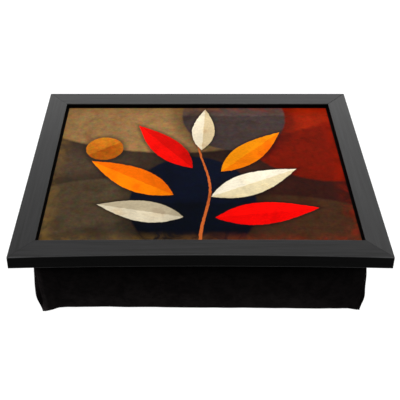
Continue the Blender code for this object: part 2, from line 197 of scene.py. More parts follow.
# The cloth that swells. It is held at the frame, at the base and, nearly as firmly, at the seams, and less
# and less within a reach of them
CLOTH_SETTINGS = {
    "quality": 6,
    "mass": 0.25,
    "tension_stiffness": 12,
    "compression_stiffness": 12,
    "shear_stiffness": 4,
    "bending_stiffness": 0.35,
    "use_pressure": True,
    "uniform_pressure_force": 4,
    "shrink_min": -0.02,
}
HOLD_REACH = 9 * MM
SEAM_HOLD_SHARE = 0.97
SWELL_LIMIT = 4 * MM
SWELL_FRAMES = 20
RIPPLE_SMOOTHING = 3

# Painted shade and light on the nap. A depth is a share of the height below the frame, from 0 at the frame
# to 1 at the base. The levels say how many times as bright the nap is painted close under the frame, in
# painted shade, and further down, and the last two how much painted light is added at the base, and with
# which power of the depth
NAP_LEVELS = (0.03, 0.33)
NAP_DEPTHS = (0.05, 0.4)
NAP_AT_BASE = 1.15
NAP_BASE_POWER = 3.0
# How strongly the skin and the seams take that painted shade and light; the seams' larger share is a painted
# highlight along them
SKIN_PAINTED_LIGHT, SEAM_PAINTED_HIGHLIGHT = 1.0, 1.7
# The two ends beside the corner seams are painted this many times as bright, mostly a painted shade, near
# the frame and near the base, with the depths where that changes. It fades out between two distances from
# a corner. An end of the cushion starts between two distances outside the corner's upright line
END_SHADES = {"left": (1.3, 0.28), "right": (0.5, 0.28)}
END_SHADE_DEPTHS = (0.55, 0.75)
END_SHADE_REACH = (10 * MM, 40 * MM)
END_FROM = (0.3 * MM, 1.5 * MM)
# The front gets a painted highlight beside the left seam, lighter by this share there. The band begins
# between two places outside the corner's upright line, which are below zero because they lie inside it
FRONT_BAND = 1.2
FRONT_BAND_REACH = (-7 * MM, -1 * MM)
# Low down, between two depths, the front is painted darker by these shares towards its ends, a painted
# shade, between two distances from the middle
FRONT_FALLS = {"left": 0.35, "right": 0.5}
FRONT_FALL_REACH = {"left": (150 * MM, 180 * MM), "right": (120 * MM, 200 * MM)}
FRONT_FALL_DEPTHS = (0.4, 0.8)
# What lies this close behind the front's upright line is the front, and the left half's shades go over
# into the right half's this close to the middle
FRONT_REACH = 10 * MM
HALVES_REACH = 10 * MM
# A painted contact shadow at the foot: it is down to this many times as bright, up to this height
FOOT_SHADE = 0.4
FOOT_HEIGHT = 3.5 * MM

# Camera, fitted to the corners of the frame in the photograph. It looks straight along Y, and the
# photograph is a crop, so the point that it aims at is not the middle of the picture. Picture places are
# in pixels from the top left
CAMERA_PLACE = (-15.1 * MM, -717.5 * MM, 686.6 * MM)
CAMERA_TILT = math.radians(49.3)
IMAGE_SIDE = 400
IMAGE_AIM = (187.3, 191.35)
FOCAL_PIXELS = 695.4
SENSOR_WIDTH = 36

# Light. The world's light goes from the walls' to the ceiling's between two heights of its direction
WALL_AND_CEILING = (0.03, 0.52)
CEILING_FROM = (0.3, 0.85)
FLOOR_SIDE = 14
FLOOR_DROP = 0.3 * MM
FLOOR_GREY = 0.3
FLOOR_GLOW = 0.84
# Softboxes: place, the height over the tray's foot that each is aimed at, width and height, power in
# watts, and whether the foil mirrors it
LAMPS = {
    "back_softbox": ((0.1, 3.4, 1.1), 0.1, (6.0, 1.6), 71, True),
    "top_softbox": ((0.0, 0.0, 3.0), 0.1, (3.0, 3.0), 4, True),
    "front_softbox": ((0.0, -2.2, 2.4), 0.1, (2.4, 1.0), 73, True),
    "left_softbox": ((-2.6, 0.0, 0.5), 0.06, (1.6, 0.8), 24, False),
    "right_softbox": ((2.6, 0.0, 0.5), 0.06, (1.6, 0.8), 24, False),
}


def srgb(code):
    """The linear colour of a hexadecimal screen colour, with full opacity."""
    levels = [int(code[i:i + 2], 16) / 255 for i in (0, 2, 4)]
    return (*[v / 12.92 if v <= 0.04045 else ((v + 0.055) / 1.055) ** 2.4 for v in levels], 1)


class Tree:
    """A node tree that is filled by short calls. Each adds nodes and gives the output of the last."""

    def __init__(self, tree):
        self.tree = tree

    def add(self, kind, values=(), out=0, **settings):
        """A node, with its values or links by the names or numbers of its sockets."""
        node = self.tree.nodes.new("ShaderNode" + kind)
        for name, value in settings.items():
            setattr(node, name, value)
        for key, value in dict(values).items():
            self.set(node.inputs[key], value)
        return node.outputs[out]

    def set(self, socket, value):
        """Links an output to a socket, or gives the socket a value of its own."""
        if isinstance(value, bpy.types.NodeSocket):
            self.tree.links.new(value, socket)
        else:
            socket.default_value = value

    def math(self, operation, *values, clamp=False):
        return self.add("Math", enumerate(values), operation=operation, use_clamp=clamp)

    def times(self, first, *others):
        for value in others:
            first = self.math("MULTIPLY", first, value)
        return first

    def rest(self, share):
        """What a share leaves of 1."""
        return self.math("SUBTRACT", 1.0, share)

    def weighted_sum(self, first, *others):
        """The sum of values, each given with its weight."""
        total = self.math("MULTIPLY", *first)
        for value, weight in others:
            total = self.math("MULTIPLY_ADD", value, weight, total)
        return total

    def slope(self, value, low, high, start=0.0, end=1.0, **settings):
        """Goes evenly from start to end as value goes from low to high."""
        return self.add("MapRange", {0: value, 1: low, 2: high, 3: start, 4: end}, **settings)

    def step(self, value, low, high, start=0.0, end=1.0):
        """Goes smoothly from start to end as value goes from low to high."""
        return self.slope(value, low, high, start, end, interpolation_type="SMOOTHSTEP")

    def mix(self, share, below, above, kind="MIX"):
        """The colour below where share is 0, and the one above over it where share is 1."""
        values = {0: share, 6: below, 7: above}
        return self.add("Mix", values, out=2, data_type="RGBA", blend_type=kind)

    def toned(self, colour, tone):
        """The colour multiplied by a plain value."""
        grey = self.add("CombineXYZ", enumerate([tone] * 3))
        return self.mix(1.0, colour, grey, "MULTIPLY")

    def vector(self, operation, *values):
        return self.add("VectorMath", enumerate(values), operation=operation)

    def parts(self, vector):
        """The X, Y and Z of a vector."""
        node = self.tree.nodes.new("ShaderNodeSeparateXYZ")
        self.set(node.inputs[0], vector)
        return tuple(node.outputs)

    def place(self, stretch=(1, 1, 1)):
        """The place on the piece in metres, each axis multiplied by its stretch."""
        return self.vector("MULTIPLY", self.add("TexCoord", out=3), stretch)

    def noise(self, vector, scale, detail, roughness=0.5, distortion=0.0, out=0):
        """Noise as a value from 0 to 1, or with out=1 as a colour."""
        values = {"Vector": vector, "Scale": scale, "Detail": detail, "Roughness": roughness}
        return self.add("TexNoise", {**values, "Distortion": distortion}, out=out)

    def bump(self, height, strength, distance, normal=None):
        values = {"Height": height, "Strength": strength, "Distance": distance}
        if normal is not None:
            values["Normal"] = normal
        return self.add("Bump", values)


# Materials

def material(name):
    """A new material, its tree and its shader's node."""
    made = bpy.data.materials.new(name)
    made.use_nodes = True
    return made, Tree(made.node_tree), made.node_tree.nodes["Principled BSDF"]


def finish_shader(tree, shader, values):
    """Sets the shader's own sockets, and links those whose value is a node's output."""
    for key, value in values.items():
        tree.set(shader.inputs[key], value)


def foil(name, along, look):
    """Black foil with a faint grain along one axis (0 for X, 1 for Y)."""
    made, tree, shader = material(name)
    stretch = [1.0, 1.0, 1.0]
    stretch[along] = 0.012
    grain = tree.noise(tree.place(stretch), scale=900, detail=3, roughness=0.6)
    stretch[along] = 0.04
    streaks = tree.noise(tree.place(stretch), scale=330, detail=3, roughness=0.6)
    cloud = tree.noise(tree.place(), scale=9, detail=2)
    fleck = tree.noise(tree.place(), scale=1400, detail=2, roughness=0.7)
    worn = tree.weighted_sum((cloud, 0.45), (grain, 0.55))
    tint = tree.weighted_sum((worn, 0.3), (streaks, 0.7))
    ribs = tree.weighted_sum((grain, 1.0), (fleck, 0.25), (streaks, 0.55))
    colour = tree.mix(tree.step(tint, 0.32, 0.68), srgb(look["dark"]), srgb(look["light"]))
    # Towards the rail's ends the arris takes a painted highlight
    if "painted_light" in look:
        from_middle = tree.math("ABSOLUTE", tree.parts(tree.place())[along])
        colour = tree.mix(tree.step(from_middle, *PAINTED_HIGHLIGHT_REACH), colour, srgb(look["painted_light"]))
    finish_shader(tree, shader, {
        "Base Color": colour,
        "Roughness": tree.math("MULTIPLY_ADD", worn, 0.16, look["rough"] - 0.08),
        "Specular IOR Level": look["level"],
        "Normal": tree.bump(ribs, strength=0.12, distance=0.04 * MM),
    })
    return made


def stained_core():
    """The moulding's underside and rebate: wood fibre stained black, dull and open-grained."""
    made, tree, shader = material("stained_core")
    fibre = tree.noise(tree.place(), scale=420, detail=4, roughness=0.7)
    finish_shader(tree, shader, {
        "Base Color": tree.mix(tree.step(fibre, 0.35, 0.65), srgb("090807"), srgb("1b1815")),
        "Roughness": tree.math("MULTIPLY_ADD", fibre, 0.15, 0.75),
        "Specular IOR Level": 0.15,
        "Normal": tree.bump(fibre, strength=0.3, distance=0.1 * MM),
    })
    return made


def motif_group(name, outline):
    """A painted motif as a node group. outline(tree, u, v) says how far inside the shape a place is, in
    its own units: u runs along the motif from -1 to 1 and v across it. Each half has its own colour."""
    group = bpy.data.node_groups.new(name, "ShaderNodeTree")
    tree = Tree(group)
    entry = group.nodes.new("NodeGroupInput")
    leave = group.nodes.new("NodeGroupOutput")
    for socket, kind in MOTIF_SOCKETS.items():
        group.interface.new_socket(socket, in_out="INPUT", socket_type="NodeSocket" + kind)
    group.interface.new_socket("Paint", in_out="OUTPUT", socket_type="NodeSocketColor")
    own = {s.name: s for s in entry.outputs}
    placed = {"Vector": own["Place"], "Location": own["Middle"]}
    turned = {"Rotation": own["Turn"], "Scale": own["Size"]}
    local = tree.add("Mapping", {**placed, **turned}, vector_type="TEXTURE")
    u, v, _ = tree.parts(local)
    inside = outline(tree, u, v)
    shadow = tree.step(inside, -0.34, 0.04, 0.0, 0.5)
    ground = tree.mix(shadow, own["Below"], srgb("0c0a0b"))
    brush = tree.noise(tree.vector("MULTIPLY", local, (1.2, 3, 1)), scale=3.4, detail=5, roughness=0.68)
    uneven = tree.math("ADD", v, tree.math("MULTIPLY_ADD", brush, 0.1, -0.05))
    paint = tree.mix(tree.step(uneven, -0.035, 0.035), own["Dark"], own["Light"])
    lengthwise = tree.step(u, -1.1, 0.9, 0.84, 1.06)
    paint = tree.toned(paint, tree.times(lengthwise, tree.math("MULTIPLY_ADD", brush, 0.3, 0.85)))
    tree.set(leave.inputs[0], tree.mix(tree.step(inside, 0.0, 0.05), ground, paint))
    return group


def leaf_outline(tree, u, v):
    """A pointed leaf that is widest a little before its middle."""
    span = tree.rest(tree.times(u, u))
    width = tree.times(span, tree.math("MULTIPLY_ADD", u, -0.28, 1.0))
    return tree.math("SUBTRACT", width, tree.math("ABSOLUTE", v))


def round_outline(tree, u, v):
    """A disc."""
    squared = tree.math("MULTIPLY_ADD", u, u, tree.times(v, v))
    return tree.rest(tree.math("SQRT", squared))


def add_motifs(tree, group, motifs, place, paint):
    """Paints motifs of one shape over the paint, one after another."""
    for middle, size, turn, light, dark in motifs:
        node = tree.tree.nodes.new("ShaderNodeGroup")
        node.node_tree = group
        given = (place, (*middle, 0), (0, 0, math.radians(turn)), (*size, 1), srgb(light), srgb(dark), paint)
        for socket, value in zip(MOTIF_SOCKETS, given):
            tree.set(node.inputs[socket], value)
        paint = node.outputs[0]
    return paint


def mottled(tree, metres, paint):
    """The ground's paint in small uneven tints."""
    tints = tree.noise(metres, scale=150, detail=5, roughness=0.7, out=1)
    around_white = tree.vector("MULTIPLY_ADD", tints, (1.5, 1.5, 1.5), (0.25, 0.25, 0.25))
    return tree.mix(1.0, paint, around_white, "MULTIPLY")


def stem(tree, x, y, below):
    """The sprig's stem over the paint below, a bowed line that thins towards its head."""
    rise = tree.step(y, STEM_FOOT, STEM_HEAD)
    bow = tree.times(tree.math("SINE", tree.times(rise, math.pi)), STEM_BOW)
    off = tree.math("ABSOLUTE", tree.math("SUBTRACT", x, bow))
    width = tree.math("MULTIPLY_ADD", rise, -0.5 * STEM_WIDTH, 1.5 * STEM_WIDTH)
    inside = tree.math("SUBTRACT", width, off)
    below_head = tree.step(y, STEM_HEAD, STEM_HEAD - STEM_POINT)
    there = tree.times(tree.step(inside, -STEM_BLUR, STEM_BLUR), below_head)
    return tree.mix(there, below, srgb("c9622a"))


def aged(tree, metres, dabs, paint):
    """The paint with cloudy tones, small dabs and warm stains."""
    clouds = tree.noise(metres, scale=22, detail=5, roughness=0.62, distortion=0.6)
    tone = tree.math("ADD", tree.step(clouds, 0.3, 0.7, 0.87, 1.1), tree.step(dabs, 0.3, 0.72, -0.08, 0.08))
    warm = tree.noise(metres, scale=37, detail=3, distortion=0.3)
    return tree.mix(tree.step(warm, 0.5, 0.75, 0, 0.35), tree.toned(paint, tone), srgb("6e3b1a"), "OVERLAY")


def print_margin(tree, millimetres):
    """How far a place on the print lies from the nearest edge of the paint's field, whose sides draw in
    towards the back, in millimetres."""
    x, y, _ = tree.parts(millimetres)
    half_width, half_depth = PRINT_SEEN
    drawn_in = tree.math("MULTIPLY_ADD", y, -0.5 * PRINT_TAPER / half_depth, half_width - 0.5 * PRINT_TAPER)
    from_sides = tree.math("SUBTRACT", drawn_in, tree.math("ABSOLUTE", x))
    return tree.math("MINIMUM", from_sides, tree.math("SUBTRACT", half_depth, tree.math("ABSOLUTE", y)))


def margined(tree, metres, millimetres, x, paint):
    """The paint with a patchy glow near its edges, and the black margin round it."""
    from_edge = print_margin(tree, millimetres)
    glow = tree.mix(tree.step(x, -60, 120), srgb("9c7430"), srgb("b81e06"))
    patchy = tree.noise(metres, scale=48, detail=4, roughness=0.6, distortion=0.8)
    share = tree.times(tree.step(from_edge, GLOW_WIDTH, 0), tree.step(patchy, 0.36, 0.68, 0.04, 0.34))
    painted = tree.step(from_edge, BLACK_MARGIN - MARGIN_BLUR, BLACK_MARGIN + MARGIN_BLUR)
    return tree.mix(painted, srgb("060505"), tree.mix(share, paint, glow))


def printed_design():
    """A generic print: a sprig of two-toned leaves over rounded hills, in mottled paint, satin on top."""
    made, tree, shader = material("printed_design")
    metres = tree.place()
    millimetres = tree.vector("MULTIPLY", metres, (1000, 1000, 0))
    wobble = tree.vector("SUBTRACT", tree.noise(metres, scale=160, detail=3, out=1), (0.5, 0.5, 0.5))
    place = tree.vector("ADD", millimetres, tree.vector("MULTIPLY", wobble, (PAINT_WAVER, PAINT_WAVER, 0)))
    x, y, _ = tree.parts(place)
    paint = tree.mix(tree.step(x, -120, 150), srgb("4d3d2e"), srgb("451d14"))
    paint = add_motifs(tree, motif_group("round", round_outline), DISCS, place, paint)
    paint = stem(tree, x, y, mottled(tree, metres, paint))
    paint = add_motifs(tree, motif_group("leaf", leaf_outline), LEAVES, place, paint)
    dabs = tree.noise(tree.place((1, 1.5, 1)), scale=260, detail=5, roughness=0.7, distortion=0.4)
    paint = aged(tree, metres, dabs, paint)
    finish_shader(tree, shader, {
        "Base Color": margined(tree, metres, millimetres, x, paint),
        "Roughness": tree.math("MULTIPLY_ADD", dabs, 0.15, 0.42),
        "Specular IOR Level": 0.01,
        "Normal": tree.bump(dabs, strength=0.1, distance=0.06 * MM),
    })
    return made


def napped_fabric(name, painted_light_scale):
    """Black microsuede: a short nap, brushed lighter and darker in patches, painted in shade close under the
    frame and painted lighter towards the base. Its last argument makes that painted light brighter as a
    whole."""
    made, tree, shader = material(name)
    patches = tree.noise(tree.place(), scale=62, detail=4, roughness=0.6, distortion=0.8)
    strokes = tree.noise(tree.place((1, 1, 2.2)), scale=190, detail=3, roughness=0.6, distortion=0.5)
    nap = tree.noise(tree.place(), scale=2600, detail=2, roughness=0.7)
    tufts = tree.noise(tree.place((1, 1, 1.4)), scale=560, detail=3, roughness=0.65)
    lie = tree.weighted_sum((strokes, 0.4), (patches, 0.6))
    colour = tree.mix(tree.step(lie, 0.38, 0.62), srgb("121010"), srgb("1d1a1a"))
    colour = tree.mix(tree.step(tufts, 0.52, 0.7, 0, 0.55), colour, srgb("060505"))
    colour = tree.mix(tree.step(nap, 0.35, 0.65, 0, 0.4), colour, srgb("0d0b0c"))
    x, y, z = tree.parts(tree.place())
    depth = tree.slope(z, FRAME_UNDERSIDE, 0)
    # Painted shade close under the frame, and painted light towards the base
    upper = tree.step(depth, *NAP_DEPTHS, *[level * painted_light_scale for level in NAP_LEVELS])
    painted_light = tree.math("MULTIPLY_ADD", tree.math("POWER", depth, NAP_BASE_POWER), NAP_AT_BASE * painted_light_scale, upper)
    # Painted contact shadow at the foot
    foot = tree.step(z, 0, FOOT_HEIGHT, FOOT_SHADE, 1.0)
    tone = tree.times(painted_light, tree.times(painted_corner_light(tree, x, y, depth), foot))
    finish_shader(tree, shader, {
        "Base Color": tree.toned(colour, tone),
        "Roughness": tree.step(lie, 0.3, 0.7, 1.0, 0.86),
        "Specular IOR Level": 0.0,
        "Sheen Weight": 0.012,
        "Sheen Roughness": 0.45,
        "Sheen Tint": srgb("cdbfc4"),
        "Normal": tree.bump(nap, 0.35, 0.12 * MM, tree.bump(strokes, 0.12, 0.6 * MM)),
    })
    return made


def painted_corner_light(tree, x, y, depth):
    """How many times as bright a place is painted: painted shade on the two ends beside the corner
    seams, a painted highlight on the front beside the left seam, and painted shade low down towards the
    front's own ends."""
    half_width, half_depth = COVER_HALVES
    height = tree.rest(depth)
    lean = tree.math("MULTIPLY_ADD", tree.times(height, height), -LEAN, LEAN)
    outward = tree.math("SUBTRACT", tree.math("ABSOLUTE", tree.math("SUBTRACT", x, lean)), half_width)
    # The ears of both sides count as long as the left ones here
    ear_share = tree.math("MULTIPLY_ADD", height, -1 / EAR_HEIGHT_SHARE, 1.0, clamp=True)
    ear = tree.times(ear_share, ear_share, EAR_LENGTHS["left"][0])
    on_end = tree.step(tree.math("SUBTRACT", outward, ear), *END_FROM)
    rightward = tree.step(x, -HALVES_REACH, HALVES_REACH)

    from_seam = tree.math("SUBTRACT", half_depth, tree.math("ABSOLUTE", y))
    beside_seam = tree.times(on_end, tree.step(from_seam, *END_SHADE_REACH, 1.0, 0.0))
    shades = [tree.step(depth, *END_SHADE_DEPTHS, *END_SHADES[side]) for side in ("left", "right")]
    dark = tree.times(beside_seam, tree.rest(tree.slope(rightward, 0.0, 1.0, *shades)))

    at_front = tree.step(y, -half_depth, FRONT_REACH - half_depth, 1.0, 0.0)
    near_seam = tree.times(tree.step(outward, *FRONT_BAND_REACH), tree.rest(on_end))
    band = tree.times(near_seam, at_front, tree.rest(rightward))
    lit = tree.math("MULTIPLY_ADD", band, FRONT_BAND, 1.0)

    falls = []
    for side, sign in (("left", -1.0), ("right", 1.0)):
        sideways = tree.times(x, sign)
        falls.append(tree.step(sideways, *FRONT_FALL_REACH[side], 0.0, FRONT_FALLS[side]))
    low = tree.times(at_front, tree.step(depth, *FRONT_FALL_DEPTHS))
    fall = tree.rest(tree.times(tree.math("ADD", *falls), low))
    return tree.times(lit, fall, tree.rest(dark))


def calico():
    """Undyed cotton in a plain weave, with slubs."""
    made, tree, shader = material("calico")
    radians_per_metre = 5200
    across = tree.parts(tree.place())[:2]
    threads = [tree.math("SINE", tree.times(coordinate, radians_per_metre)) for coordinate in across]
    slubs = tree.noise(tree.place((1, 0.1, 1)), scale=300, detail=3, roughness=0.6)
    finish_shader(tree, shader, {
        "Base Color": tree.mix(tree.step(slubs, 0.35, 0.7), srgb("d8cfb8"), srgb("b9ac8e")),
        "Roughness": tree.math("MULTIPLY_ADD", slubs, 0.1, 0.85),
        "Normal": tree.bump(tree.times(*threads), strength=0.3, distance=0.1 * MM),
    })
    return made


def fibreboard():
    """Bare hardboard: pressed brown fibre with darker flecks."""
    made, tree, shader = material("fibreboard")
    fibre = tree.noise(tree.place((1, 0.4, 1)), scale=700, detail=5, roughness=0.7, distortion=0.5)
    blotch = tree.noise(tree.place(), scale=25, detail=3)
    base = tree.mix(tree.step(fibre, 0.35, 0.68), srgb("6f4a2b"), srgb("9a6f45"))
    finish_shader(tree, shader, {
        "Base Color": tree.mix(tree.step(blotch, 0.4, 0.8, 0, 0.4), base, srgb("5d3d24")),
        "Roughness": tree.math("MULTIPLY_ADD", fibre, 0.2, 0.6),
        "Normal": tree.bump(fibre, strength=0.25, distance=0.08 * MM),
    })
    return made


def foam_tape():
    """White closed-cell foam tape."""
    made, tree, shader = material("foam_tape")
    cells = tree.add("TexVoronoi", {"Vector": tree.place(), "Scale": 1800.0})
    finish_shader(tree, shader, {
        "Base Color": tree.mix(tree.step(cells, 0.0, 0.7), srgb("f1efe8"), srgb("cfccc2")),
        "Roughness": tree.math("MULTIPLY_ADD", cells, 0.2, 0.6),
        "Normal": tree.bump(cells, strength=0.3, distance=0.1 * MM),
    })
    return made


def bright_steel():
    """Galvanised strip and wire, drawn lengthwise."""
    made, tree, shader = material("bright_steel")
    drawn = tree.noise(tree.place((1, 1, 0.05)), scale=2500, detail=3, roughness=0.6)
    dull = tree.noise(tree.place(), scale=240, detail=3)
    finish_shader(tree, shader, {
        "Base Color": tree.mix(tree.step(dull, 0.35, 0.7), srgb("b9babb"), srgb("8d8e90")),
        "Metallic": 1.0,
        "Roughness": tree.math("MULTIPLY_ADD", drawn, 0.2, 0.28),
        "Normal": tree.bump(drawn, strength=0.2, distance=0.03 * MM),
    })
    return made


# Meshes and objects

def link(name, data):
    """A new object in the scene, with this mesh, curve, camera or lamp."""
    made = bpy.data.objects.new(name, data)
    SCENE.collection.objects.link(made)
    return made


def bmesh_of(*meshes):
    """The meshes together, ready to be edited."""
    shape = bmesh.new()
    for mesh in meshes:
        shape.from_mesh(mesh)
    return shape


def write_mesh(shape, mesh):
    """The mesh, with the edited shape in it."""
    shape.to_mesh(mesh)
    shape.free()
    return mesh


def weld(mesh):
    """Joins the points of a mesh that lie together, and takes out the faces that have no area then."""
    shape = bmesh_of(mesh)
    bmesh.ops.remove_doubles(shape, verts=shape.verts, dist=WELD_REACH)
    bmesh.ops.dissolve_degenerate(shape, edges=shape.edges, dist=WELD_REACH)
    write_mesh(shape, mesh)


def evaluated_mesh(piece):
    """The mesh that a piece's modifiers, or a curve's bevel, make of it."""
    view = bpy.context.evaluated_depsgraph_get()
    return bpy.data.meshes.new_from_object(piece.evaluated_get(view))


def apply_modifiers(piece):
    """Replaces a piece's mesh by what its modifiers make of it."""
    made = evaluated_mesh(piece)
    piece.modifiers.clear()
    old, piece.data = piece.data, made
    bpy.data.meshes.remove(old)


# Rails

def arris(corner, ways, level_first, radius, finish):
    """The points of a rounded edge of the moulding's section, with their finish. ways says in which
    direction, 1 or -1, the moulding lies from its corner along X and along Z. The points start on the
    level face or, where level_first is false, on the upright one, and end on the other."""
    turns = [i / ARRIS_STEPS * math.pi / 2 for i in range(ARRIS_STEPS + 1)]
    offsets = [((1 - math.sin(t)) * radius, (1 - math.cos(t)) * radius) for t in turns]
    points = []
    for away, near in [(radius + ARRIS_MARGIN, 0), *offsets, (0, radius + ARRIS_MARGIN)]:
        dx, dz = (away, near) if level_first else (near, away)
        points.append((corner[0] + ways[0] * dx, corner[1] + ways[1] * dz, finish))
    return points


def moulding_section():
    """The moulding cut across: (distance in from its outer face, height over its underside, finish), from
    the rebate's foot over the underside, the outer face, the top and the sight edge back to the rebate."""
    rebate_wall, lip = RAIL_WIDTH - REBATE_WIDTH, MOULDING_HEIGHT - LIP_HEIGHT
    return [
        (rebate_wall, 0, CORE),
        *arris((-FACE_FLARE, 0), (1, 1), True, BOTTOM_ARRIS_RADIUS, LOW_ARRIS_HIGHLIGHT),
        *arris((0, MOULDING_HEIGHT), (1, -1), False, TOP_ARRIS_RADIUS, EDGE),
        *arris((RAIL_WIDTH, MOULDING_HEIGHT), (-1, -1), True, SIGHT_ARRIS_RADIUS, SATIN),
        (RAIL_WIDTH, lip, DULL_SHADED),
        (rebate_wall, lip, CORE),
    ]


def finish_between(first, second):
    """The finish of the strip between two points of the section. The outer face and the wall of the sight
    edge take the duller foil painted in shade, the bottom arris the foil with a painted highlight, and the
    arris between outer face and top face has a finish of its own."""
    finishes = (first[2], second[2])
    rise = abs(first[1] - second[1])
    if CORE in finishes and DULL_SHADED not in finishes:
        return CORE
    if rise > WALL_RISE or DULL_SHADED in finishes:
        return DULL_SHADED
    if LOW_ARRIS_HIGHLIGHT in finishes:
        return LOW_ARRIS_HIGHLIGHT
    return EDGE if finishes == (EDGE, EDGE) and rise >= WELD_REACH else SATIN


def rail_mesh(name, half_length, gaps, bowed):
    """One mitred rail, lying along X with its outer face at Y = 0 and its inner edge at +Y, and its
    underside at the frame's. Each ring of the mesh is the moulding's section at one place along the rail.
    gaps says how far its left and its right end stay back from the mitre's middle."""
    section = moulding_section()
    shape = bmesh.new()
    rings = []
    for station in range(RAIL_STATIONS + 1):
        share = 2 * station / RAIL_STATIONS - 1
        bow = (1 - share * share) if bowed else 0
        ring = []
        for inward, height, _ in section:
            upper = height / MOULDING_HEIGHT
            across = min(1.0, max(0.0, inward) / (RAIL_WIDTH - REBATE_WIDTH))
            outer = BOW_AT_FOOT + upper * (BOW_AT_OUTER_ARRIS - BOW_AT_FOOT)
            pushed = outer + across * (upper * BOW_AT_SIGHT_EDGE - outer)
            x = share * (half_length - inward) + (1 - share) / 2 * gaps[0] - (1 + share) / 2 * gaps[1]
            ring.append(shape.verts.new((x, inward + bow * pushed, FRAME_UNDERSIDE + height)))
        rings.append(ring)
    count = len(section)
    for first, second in zip(rings, rings[1:]):
        for i in range(count):
            j = (i + 1) % count
            face = shape.faces.new((first[i], second[i], second[j], first[j]))
            face.material_index = finish_between(section[i], section[j])
    for ring in (rings[0], rings[-1]):
        shape.faces.new(ring).material_index = CORE
    bmesh.ops.recalc_face_normals(shape, faces=shape.faces)
    return write_mesh(shape, bpy.data.meshes.new(name))


def slot_cutters():
    """The steel pieces that go into the moulding, each grown by the clearance of its slot, as one cutter."""
    steel = [node for node in frame["nodes"] if node.startswith(("v_nail", "framers_point"))]
    shape = bmesh_of(*[frame["nodes"][node].data for node in steel])
    bmesh.ops.remove_doubles(shape, verts=shape.verts, dist=WELD_REACH)
    bmesh.ops.recalc_face_normals(shape, faces=shape.faces)
    shape.normal_update()
    moved = [(v, v.co + v.normal * SLOT_CLEARANCE * v.calc_shell_factor()) for v in shape.verts]
    for vert, place in moved:
        vert.co = place
    for face in shape.faces:
        face.material_index = CORE
    return link("slot_cutters", write_mesh(shape, bpy.data.meshes.new("slot_cutters")))


def rail_finishes(node, along, rough, level, core):
    """A rail's materials, in the order of the finishes' numbers."""
    satin = {**SATIN_COLOURS, "rough": rough, "level": level}
    # The bowed rail's outer top arris takes a painted highlight at its ends
    edge = {**satin, "painted_light": PAINTED_HIGHLIGHT_COLOUR} if node == BOWED_RAIL else satin
    return (
        foil("satin_foil_" + node, along, satin),
        foil("dull_shaded_foil_" + node, along, DULL_SHADED_LOOK),
        core,
        foil("low_arris_highlight_foil_" + node, along, LOW_ARRIS_HIGHLIGHT_LOOK),
        foil("edge_foil_" + node, along, edge),
    )


def make_rails():
    """The four rails, each turned about the tray's middle from the way the front one lies."""
    core = stained_core()
    cutter = slot_cutters()
    for node, (quarter_turns, gaps, rough, level) in RAILS.items():
        along = quarter_turns % 2
        mesh = rail_mesh("moulding_" + node, FRAME_HALVES[along], gaps, node == BOWED_RAIL)
        turn = Matrix.Rotation(quarter_turns * math.pi / 2, 4, "Z")
        mesh.transform(turn @ Matrix.Translation((0, -FRAME_HALVES[1 - along], 0)))
        piece = link("moulding_" + node, mesh)
        for finish in rail_finishes(node, along, rough, level, core):
            mesh.materials.append(finish)
        cut = piece.modifiers.new("slots", "BOOLEAN")
        cut.operation = "DIFFERENCE"
        cut.solver = "EXACT"
        cut.object = cutter
        apply_modifiers(piece)
        weld(piece.data)
        piece.data.shade_smooth()
        piece.data.set_sharp_from_angle(angle=RAIL_SHARP_ANGLE)
        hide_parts(node)
        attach(piece, "root")
    bpy.data.objects.remove(cutter)


# Cushion

def bulge_at(side, height):
    """How far the middle of a side stands out of the cover's upright line at a share of its height."""
    bulge, fullest, fading, tuck, _ = SIDE_SHAPES[side]
    if height >= fullest:
        rise = (height - fullest) / (1 - fullest)
        return bulge * (1 - rise ** fading)
    fall = (fullest - height) / fullest
    return bulge - (bulge + tuck) * (1 - math.sqrt(1 - fall ** BASE_ROUNDNESS))


def corner_at(height, ear_length):
    """The same at the seam down a corner, which ends in an ear at the base."""
    swollen = CORNER_BULGE * (1 - (2 * height - 1) ** 2)
    ear = ear_length * max(0.0, 1 - height / EAR_HEIGHT_SHARE) ** 2
    return swollen + ear


def stand_out(side, along, height, ear_length):
    """How far a place stands out: along runs from one corner of the side to the other, from -1 to 1."""
    corner = corner_at(height, ear_length)
    middle = 1 - abs(along) ** SIDE_SHAPES[side][-1][along > 0]
    slant = FRONT_SLANT * along if side == "front" else 0
    return corner + (bulge_at(side, height) + slant - corner) * middle


def at_end(coordinate):
    """Whether a coordinate of the cage's cube lies at one of its two ends."""
    return abs(abs(coordinate) - 1) < CAGE_REACH


def wall_place(column, line, height):
    """A place on the cushion's side. column and line run from -1 to 1 along X and Y, and one of them is at
    its end. height is a share of the cushion's height."""
    x, y = column * COVER_HALVES[0], line * COVER_HALVES[1]
    end = "right" if column > 0 else "left"
    if at_end(column):
        x += round(column) * stand_out(end, line, height, EAR_LENGTHS[end][0])
    if at_end(line):
        face = "back" if line > 0 else "front"
        y += round(line) * stand_out(face, column, height, EAR_LENGTHS[end][1])
    return Vector((x + LEAN * (1 - height ** 2), y, height * FRAME_UNDERSIDE))


def base_place(column, line):
    """A place on the cushion's base, drawn in towards the middle from the rim in the same direction."""
    reach = max(abs(column), abs(line))
    if reach == 0:
        return Vector((LEAN, 0, 0))
    return wall_place(column / reach, line / reach, 0) * reach


def runs_along(edge, axis):
    """Whether an edge of the cage's cube lies along an axis."""
    first, second = [v.co for v in edge.verts]
    return all((abs(first[i] - second[i]) > CAGE_REACH) == (i == axis) for i in range(3))


